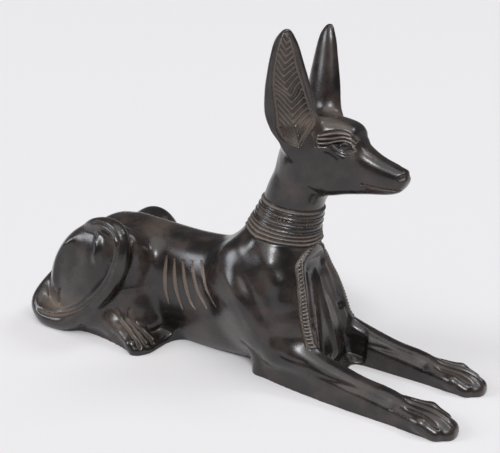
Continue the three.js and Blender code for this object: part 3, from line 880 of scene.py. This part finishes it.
BLOCK = 8  # grid lines to a block
MARGIN = 7.5  # a block whose middle is further than this from the surface can't hold any of it


def sample_grid(field, xs, ys, zs):
    """The field on a grid, worked out only in the blocks that the surface may pass through."""
    shape = (len(xs), len(ys), len(zs))
    grid = np.empty(shape, np.float32)
    starts = [np.arange(0, n, BLOCK) for n in shape]
    middles = [axis[np.minimum(s + BLOCK // 2, len(axis) - 1)] for axis, s in zip((xs, ys, zs), starts)]
    corner = np.stack(np.meshgrid(*middles, indexing="ij"), -1).reshape(-1, 3)
    index = np.stack(np.meshgrid(*starts, indexing="ij"), -1).reshape(-1, 3)
    coarse = in_batches(grounded, corner)
    wanted = []
    for (i, j, k), value in zip(index, coarse):
        if abs(value) > MARGIN:
            grid[i:i + BLOCK, j:j + BLOCK, k:k + BLOCK] = value
        else:
            wanted.append((i, j, k))
    offset = np.stack(np.meshgrid(*[np.arange(BLOCK)] * 3, indexing="ij"), -1).reshape(-1, 3)
    cells = (np.array(wanted)[:, None, :] + offset[None]).reshape(-1, 3)
    cells = cells[(cells < np.array(shape)).all(1)]
    points = np.stack([xs[cells[:, 0]], ys[cells[:, 1]], zs[cells[:, 2]]], 1)
    grid[cells[:, 0], cells[:, 1], cells[:, 2]] = in_batches(field, points)
    return grid


def net_of(grid, xs, ys, zs):
    """A closed net of four-sided faces: a point in each cell that the surface crosses, and a face round
    each grid edge that it crosses."""
    axes = (xs, ys, zs)
    cells = np.array([n - 1 for n in grid.shape])
    solid = grid < 0
    sums, owners, faces = [], [], []
    for axis in range(3):
        low = [slice(None)] * 3
        high = [slice(None)] * 3
        low[axis] = slice(None, -1)
        high[axis] = slice(1, None)
        edge = np.argwhere(solid[tuple(low)] != solid[tuple(high)])
        far = edge.copy()
        far[:, axis] += 1
        a = grid[tuple(edge.T)]
        b = grid[tuple(far.T)]
        place = np.stack([axes[d][edge[:, d]] for d in range(3)], 1).astype(np.float64)
        place[:, axis] += (axes[axis][far[:, axis]] - axes[axis][edge[:, axis]]) * (a / (a - b))
        u, v = (axis + 1) % 3, (axis + 2) % 3
        ring = []
        for du, dv in ((-1, -1), (0, -1), (0, 0), (-1, 0)):
            cell = edge.copy()
            cell[:, u] += du
            cell[:, v] += dv
            ring.append((cell[:, 0] * cells[1] + cell[:, 1]) * cells[2] + cell[:, 2])
        ring = np.stack(ring, 1)
        sums.append(np.repeat(place, 4, axis=0))
        owners.append(ring.ravel())
        outward = a < 0
        faces.append(np.where(outward[:, None], ring, ring[:, ::-1]))
    owners = np.concatenate(owners)
    sums = np.concatenate(sums)
    used, where = np.unique(owners, return_inverse=True)
    share = np.bincount(where)
    points = np.stack([np.bincount(where, sums[:, d]) / share for d in range(3)], 1)
    return points.astype(np.float32), np.searchsorted(used, np.concatenate(faces))


def slope_of(field, points, step=0.06):
    """The field's slope at each point, from small steps either way."""
    slope = np.empty_like(points)
    for axis in range(3):
        move = np.zeros(3, np.float32)
        move[axis] = step
        slope[:, axis] = (in_batches(field, points + move) - in_batches(field, points - move)) / (2 * step)
    return slope


def settle(field, points, rounds, furthest=0.25):
    """Moves points along the field's slope until they lie on the surface."""
    for _ in range(rounds):
        value = in_batches(field, points)
        slope = slope_of(field, points)
        step = np.clip(value / np.maximum((slope**2).sum(1), 0.2), -furthest, furthest)
        points = points - slope * step[:, None]
    return points


def new_mesh(name, points, faces):
    mesh = bpy.data.meshes.new(name)
    corners = faces.shape[1]
    mesh.vertices.add(len(points))
    mesh.vertices.foreach_set("co", points.ravel())
    mesh.loops.add(faces.size)
    mesh.loops.foreach_set("vertex_index", faces.ravel().astype(np.int32))
    mesh.polygons.add(len(faces))
    mesh.polygons.foreach_set("loop_start", np.arange(0, faces.size, corners, dtype=np.int32))
    mesh.update(calc_edges=True)
    mesh.validate()
    return mesh


def mesh_points(mesh):
    flat = np.empty(len(mesh.vertices) * 3, np.float32)
    mesh.vertices.foreach_get("co", flat)
    return flat.reshape(-1, 3)


def add_attribute(mesh, name, values):
    layer = mesh.attributes.new(name, "FLOAT", "POINT")
    layer.data.foreach_set("value", np.ascontiguousarray(values, np.float32))


# ---------------------------------------------------------------- settings
def srgb(text):
    """An sRGB hex colour as the linear colour that a shader wants."""
    parts = [int(text[i:i + 2], 16) / 255 for i in (1, 3, 5)]
    return tuple(c / 12.92 if c <= 0.04045 else ((c + 0.055) / 1.055) ** 2.4 for c in parts)


def colour_setting(name, description, default):
    return FloatVectorProperty(
        name=name, description=description, subtype="COLOR", size=3, min=0, max=1, default=srgb(default)
    )


def length_setting(name, description, millimetres):
    return FloatProperty(
        name=name, description=description, subtype="DISTANCE", unit="LENGTH", min=0, default=millimetres * MM
    )


class CastingSettings(bpy.types.PropertyGroup):
    """How finely the casting is made and what its finish looks like."""

    fine: length_setting("Fine pitch", "Grid pitch on the head, collar and forelegs", 0.5)
    plain: length_setting("Plain pitch", "Grid pitch on the plain hind part", 0.9)
    triangles: IntProperty(
        name="Triangles", description="Triangles kept after thinning", default=190000, min=10000, max=199000
    )
    resin: colour_setting("Resin", "The casting's dark brown-black body colour", "#1a1615")
    bloom: colour_setting("Bloom", "The greyer, drier patches of the handled surface", "#403530")
    dust: colour_setting("Dust", "Tan stain left in the carving's recesses", "#857567")
    # Paler colour on convex edges: partly real rubbing wear, partly a painted highlight along the ridges.
    rub_and_highlight: colour_setting("Rub", "Paler resin where edges are rubbed", "#857b74")


class StudioSettings(bpy.types.PropertyGroup):
    """The floor, the light and the camera."""

    floor: colour_setting("Floor", "Matt pale paper that the statuette stands on", "#e9e7e7")
    wall: colour_setting("Air", "Even light from all round", "#f2f4f7")
    distance: length_setting("Camera distance", "From the camera to the point that it looks at", 466.7)
    lens: FloatProperty(name="Lens", description="Focal length", subtype="DISTANCE_CAMERA", default=56.25)


# ---------------------------------------------------------------- materials
def add_node(tree, kind, settings=None, joined=None):
    """Adds a node; `settings` sets its options or inputs, `joined` joins its inputs to other outputs."""
    node = tree.nodes.new(kind)
    for key, value in (settings or {}).items():
        if isinstance(key, str) and hasattr(node, key):
            setattr(node, key, value)
        else:
            node.inputs[key].default_value = value
    for key, output in (joined or {}).items():
        tree.links.new(output, node.inputs[key])
    return node


def new_material(name):
    material = bpy.data.materials.new(name)
    material.use_nodes = True
    material.node_tree.nodes.clear()
    return material, material.node_tree


def colour4(colour):
    return (*colour, 1.0)


def noise_scale(millimetres):
    """Noise scale for blotches about this many millimetres across, on coordinates in metres."""
    return 1 / (millimetres * MM)


BLOTCH_SIZE = 14  # mm across a drier patch
GRAIN_SIZE = 1.1  # mm across a clump of the stone filler, coarser than the real grit so that it shows


def cast_resin(settings):
    """Stone-filled polyester resin, cast in a rubber mould, stained tan in its recesses and waxed.
    The eye sees a nearly black body with soft cool highlights, drier brown recesses, and edges painted paler,
    partly for rubbing wear and partly as a painted highlight along the ridges."""
    material, tree = new_material("waxed stone-filled casting resin")
    place = add_node(tree, "ShaderNodeTexCoord").outputs["Object"]
    stain = add_node(tree, "ShaderNodeAttribute", {"attribute_name": "recess"}).outputs["Fac"]
    dust = add_node(tree, "ShaderNodeAttribute", {"attribute_name": "dust"}).outputs["Fac"]
    rubbed_edge_and_highlight = add_node(tree, "ShaderNodeAttribute", {"attribute_name": "edge"}).outputs["Fac"]

    blotch = add_node(
        tree, "ShaderNodeTexNoise",
        {"Scale": noise_scale(BLOTCH_SIZE), "Detail": 4.0, "Roughness": 0.6}, {"Vector": place},
    )
    grain = add_node(
        tree, "ShaderNodeTexNoise",
        {"Scale": noise_scale(GRAIN_SIZE), "Detail": 3.0, "Roughness": 0.7}, {"Vector": place},
    )
    bloom_mask = add_node(
        tree, "ShaderNodeMapRange",
        {"From Min": 0.42, "From Max": 0.68, "To Min": 0.0, "To Max": 0.75}, {"Value": blotch.outputs["Fac"]},
    )
    body_colour = add_node(
        tree, "ShaderNodeMix", {"data_type": "RGBA", 6: colour4(settings.resin), 7: colour4(settings.bloom)},
        {0: bloom_mask.outputs[0]},
    )
    broken = add_node(
        tree, "ShaderNodeMath", {"operation": "MULTIPLY_ADD", 1: 0.5, 2: -0.25}, {0: grain.outputs["Fac"]}
    )
    held = add_node(
        tree, "ShaderNodeMath", {"operation": "MULTIPLY_ADD", 1: 0.45}, {0: stain, 2: broken.outputs[0]}
    )
    stain_sum = add_node(tree, "ShaderNodeMath", {"operation": "ADD"}, {0: dust, 1: held.outputs[0]})
    stain_mask = add_node(
        tree, "ShaderNodeMapRange",
        {"interpolation_type": "SMOOTHSTEP", "From Min": 0.12, "From Max": 1.0, "To Min": 0.0, "To Max": 0.7},
        {"Value": stain_sum.outputs[0]},
    )
    stained = add_node(
        tree, "ShaderNodeMix", {"data_type": "RGBA", 7: colour4(settings.dust)},
        {0: stain_mask.outputs[0], 6: body_colour.outputs[2]},
    )
    # Pales convex edges, partly as rubbing wear and partly as a painted highlight along the ridges.
    rubbed_edge_and_highlight_mask = add_node(
        tree, "ShaderNodeMapRange",
        {
            "interpolation_type": "SMOOTHSTEP",
            "From Min": 0.18, "From Max": 0.8, "To Min": 0.0, "To Max": 0.75,
        },
        {"Value": rubbed_edge_and_highlight},
    )
    finished = add_node(
        tree, "ShaderNodeMix", {"data_type": "RGBA", 7: colour4(settings.rub_and_highlight)},
        {0: rubbed_edge_and_highlight_mask.outputs[0], 6: stained.outputs[2]},
    )
    dull = add_node(
        tree, "ShaderNodeMapRange", {"From Min": 0.3, "From Max": 0.7, "To Min": 0.2, "To Max": 0.33},
        {"Value": blotch.outputs["Fac"]},
    )
    roughness = add_node(
        tree, "ShaderNodeMix", {"data_type": "FLOAT", 3: 0.72}, {0: stain_mask.outputs[0], 2: dull.outputs[0]}
    )
    bump = add_node(
        tree, "ShaderNodeBump", {"Strength": 0.25, "Distance": 0.25 * MM}, {"Height": grain.outputs["Fac"]}
    )
    shader = add_node(
        tree, "ShaderNodeBsdfPrincipled",
        {"IOR": 1.52, "Metallic": 0.0, "Coat Weight": 0.3, "Coat Roughness": 0.22, "Coat IOR": 1.5},
        {"Base Color": finished.outputs[2], "Roughness": roughness.outputs[0], "Normal": bump.outputs[0]},
    )
    add_node(tree, "ShaderNodeOutputMaterial", None, {"Surface": shader.outputs[0]})
    return material


def matt_paper(settings):
    """Background paper: uncoated, so it shows no reflection, only soft shadow."""
    material, tree = new_material("matt background paper")
    shader = add_node(
        tree, "ShaderNodeBsdfPrincipled",
        {"Base Color": colour4(settings.floor), "Roughness": 0.9, "Specular IOR Level": 0.2},
    )
    add_node(tree, "ShaderNodeOutputMaterial", None, {"Surface": shader.outputs[0]})
    return material


# ---------------------------------------------------------------- making
def deselect_all():
    for thing in bpy.context.selected_objects:
        thing.select_set(False)


def make_active(thing):
    deselect_all()
    thing.select_set(True)
    bpy.context.view_layer.objects.active = thing


def sculpted_mesh(settings):
    """The carved casting as a net of quads, in sculpture millimetres."""
    coarse = 1.0
    fine = settings.fine / MM * coarse
    plain = settings.plain / MM * coarse
    xs = spaced(
        (-146, 6, plain), (6, 52, fine), (52, 76, fine * 0.6), (76, 104, fine), (104, 156, fine * 1.3)
    )
    ys = spaced((-64, -34, plain), (-34, 34, fine), (34, 64, plain))
    zs = spaced(
        (-3, 14, fine * 1.2), (14, 26, plain * 0.8), (26, 132, fine), (132, 147, fine * 0.6), (147, 206, fine)
    )
    grid = sample_grid(grounded, xs, ys, zs)
    return net_of(grid, xs, ys, zs)


# How far from the surface, in mm, the recesses and the edges are felt for, and each reach's share.
RECESS_REACHES = ((0.7, 0.5), (1.8, 0.5), (4.0, 0.35))
EDGE_REACHES = ((0.5, 0.5), (1.2, 0.5))


def felt(points, normal, steepness, facing, reaches):
    """How deep each point lies in a recess, with `facing` 1, or how far out on an edge, with -1."""
    total = 0
    for reach, share in reaches:
        there = in_batches(carved, points + facing * normal * reach)
        total = total + np.clip(1 - facing * there / (reach * steepness), 0, 1.5) * share
    return total


class JACKAL_OT_casting(bpy.types.Operator):
    """Sculpt the casting, thin its mesh, and give it its finish"""

    bl_idname = "jackal.casting"
    bl_label = "Casting"

    def execute(self, context):
        settings = context.scene.jackal_casting
        points, faces = sculpted_mesh(settings)
        points = settle(grounded, points, 1)
        casting = bpy.data.objects.new("jackal_casting", new_mesh("jackal_casting", points, faces))
        context.collection.objects.link(casting)
        make_active(casting)
        thin = casting.modifiers.new("thin", "DECIMATE")
        thin.ratio = min(settings.triangles / (2 * len(faces)), 1.0)
        thin.use_collapse_triangulate = True
        bpy.ops.object.modifier_apply(modifier=thin.name)

        mesh = casting.data
        points = settle(grounded, mesh_points(mesh), 2)
        points[:, 2] = np.maximum(points[:, 2], 0)
        slope = slope_of(carved, points, 0.12)
        steepness = np.maximum(np.linalg.norm(slope, axis=1), 0.3)
        normal = slope / steepness[:, None]
        add_attribute(mesh, "recess", felt(points, normal, steepness, 1, RECESS_REACHES))
        add_attribute(mesh, "dust", dusty(points))
        # How far out on a convex edge each point lies; the finish paints these edges paler, partly as rubbing
        # wear and partly as a painted highlight.
        add_attribute(mesh, "edge", felt(points, normal, steepness, -1, EDGE_REACHES))

        low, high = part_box(CASTING)
        middle = (points.max(0) + points.min(0)) / 2
        shift = np.array([(low[0] + high[0]) / 2, (low[1] + high[1]) / 2, 0]) / MM
        points = (points - [middle[0], middle[1], 0] + shift) * MM
        mesh.vertices.foreach_set("co", points.astype(np.float32).ravel())
        mesh.polygons.foreach_set("use_smooth", np.ones(len(mesh.polygons), bool))
        mesh.update()
        mesh.normals_split_custom_set_from_vertices(normal.astype(np.float32))
        mesh.materials.append(cast_resin(settings))
        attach(casting, "root")
        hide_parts(CASTING)
        context.scene["sculpture_shift"] = [float(v) for v in (shift - [middle[0], middle[1], 0])]
        return {"FINISHED"}


# The camera's place in the sculpture's own millimetres.
CAMERA_AIM = (5.97, -2.95, 79.79)
CAMERA_AZIMUTH = math.radians(-58.57)
CAMERA_ELEVATION = math.radians(18.89)
CAMERA_ROLL = math.radians(1.52)
AIR_STRENGTH = 0.13
FLOOR_SIZE = 40
# Each window: its name, strength, the direction it lies in, the degrees of sky it fills, and its colour.
WINDOWS = [
    ("ceiling", 1.35, (0.1, -0.25, 0.95), 70, "#fefdfb"),
    ("front window", 1.2, (0.34, -0.56, 0.76), 14, "#fafbff"),
    ("left window", 1.0, (-0.72, -0.52, 0.45), 24, "#f4f7ff"),
    ("right window", 0.5, (0.42, 0.42, 0.8), 16, "#f4f7ff"),
]


def add_light(name, strength, direction, spread, colour):
    """Far-off window light: it comes from `direction` and fills `spread` degrees of the sky there."""
    data = bpy.data.lights.new(name, "SUN")
    data.energy = strength
    data.angle = math.radians(spread)
    data.color = srgb(colour)
    lamp = bpy.data.objects.new(name, data)
    bpy.context.collection.objects.link(lamp)
    lamp.rotation_mode = "QUATERNION"
    lamp.rotation_quaternion = Vector(direction).to_track_quat("Z", "Y")


class JACKAL_OT_studio(bpy.types.Operator):
    """Lay the pale floor, hang the lights and set the camera"""

    bl_idname = "jackal.studio"
    bl_label = "Studio"

    def execute(self, context):
        settings = context.scene.jackal_studio
        shift = Vector(context.scene["sculpture_shift"])
        aim = (Vector(CAMERA_AIM) + shift) * MM
        back = Vector((
            math.cos(CAMERA_ELEVATION) * math.cos(CAMERA_AZIMUTH),
            math.cos(CAMERA_ELEVATION) * math.sin(CAMERA_AZIMUTH),
            math.sin(CAMERA_ELEVATION),
        ))
        data = bpy.data.cameras.new("camera")
        data.lens = settings.lens
        data.sensor_width = 36
        data.clip_start = 0.01
        camera = bpy.data.objects.new("camera", data)
        context.collection.objects.link(camera)
        camera.rotation_mode = "QUATERNION"
        level = back.to_track_quat("Z", "Y")
        camera.rotation_quaternion = level @ Matrix.Rotation(CAMERA_ROLL, 3, "Z").to_quaternion()
        camera.location = aim + back * settings.distance
        context.scene.camera = camera

        deselect_all()
        bpy.ops.mesh.primitive_plane_add(size=FLOOR_SIZE, location=(0, 0, 0))
        floor = context.active_object
        floor.name = "floor"
        floor.data.materials.append(matt_paper(settings))

        world = bpy.data.worlds.new("pale air")
        world.use_nodes = True
        air = world.node_tree.nodes["Background"]
        air.inputs["Color"].default_value = colour4(settings.wall)
        air.inputs["Strength"].default_value = AIR_STRENGTH
        context.scene.world = world
        context.scene.view_settings.view_transform = "Standard"
        for window in WINDOWS:
            add_light(*window)
        return {"FINISHED"}


class JACKAL_PT_panel(bpy.types.Panel):
    """Lists the steps that make the statuette and its studio"""

    bl_idname = "JACKAL_PT_panel"
    bl_label = "Jackal statuette"
    bl_space_type = "VIEW_3D"
    bl_region_type = "UI"
    bl_category = "Jackal"

    def draw(self, context):
        layout = self.layout
        for group in (context.scene.jackal_casting, context.scene.jackal_studio):
            for name in group.__annotations__:
                layout.prop(group, name)
        for step in STEPS:
            layout.operator(step.bl_idname)


STEPS = (JACKAL_OT_casting, JACKAL_OT_studio)
CLASSES = (CastingSettings, StudioSettings, *STEPS, JACKAL_PT_panel)


def register():
    for cls in CLASSES:
        bpy.utils.register_class(cls)
    bpy.types.Scene.jackal_casting = PointerProperty(type=CastingSettings)
    bpy.types.Scene.jackal_studio = PointerProperty(type=StudioSettings)


def unregister():
    del bpy.types.Scene.jackal_studio
    del bpy.types.Scene.jackal_casting
    for cls in reversed(CLASSES):
        bpy.utils.unregister_class(cls)


def main():
    register()
    bpy.ops.jackal.casting()
    bpy.ops.jackal.studio()


if __name__ == "__main__":
    main()
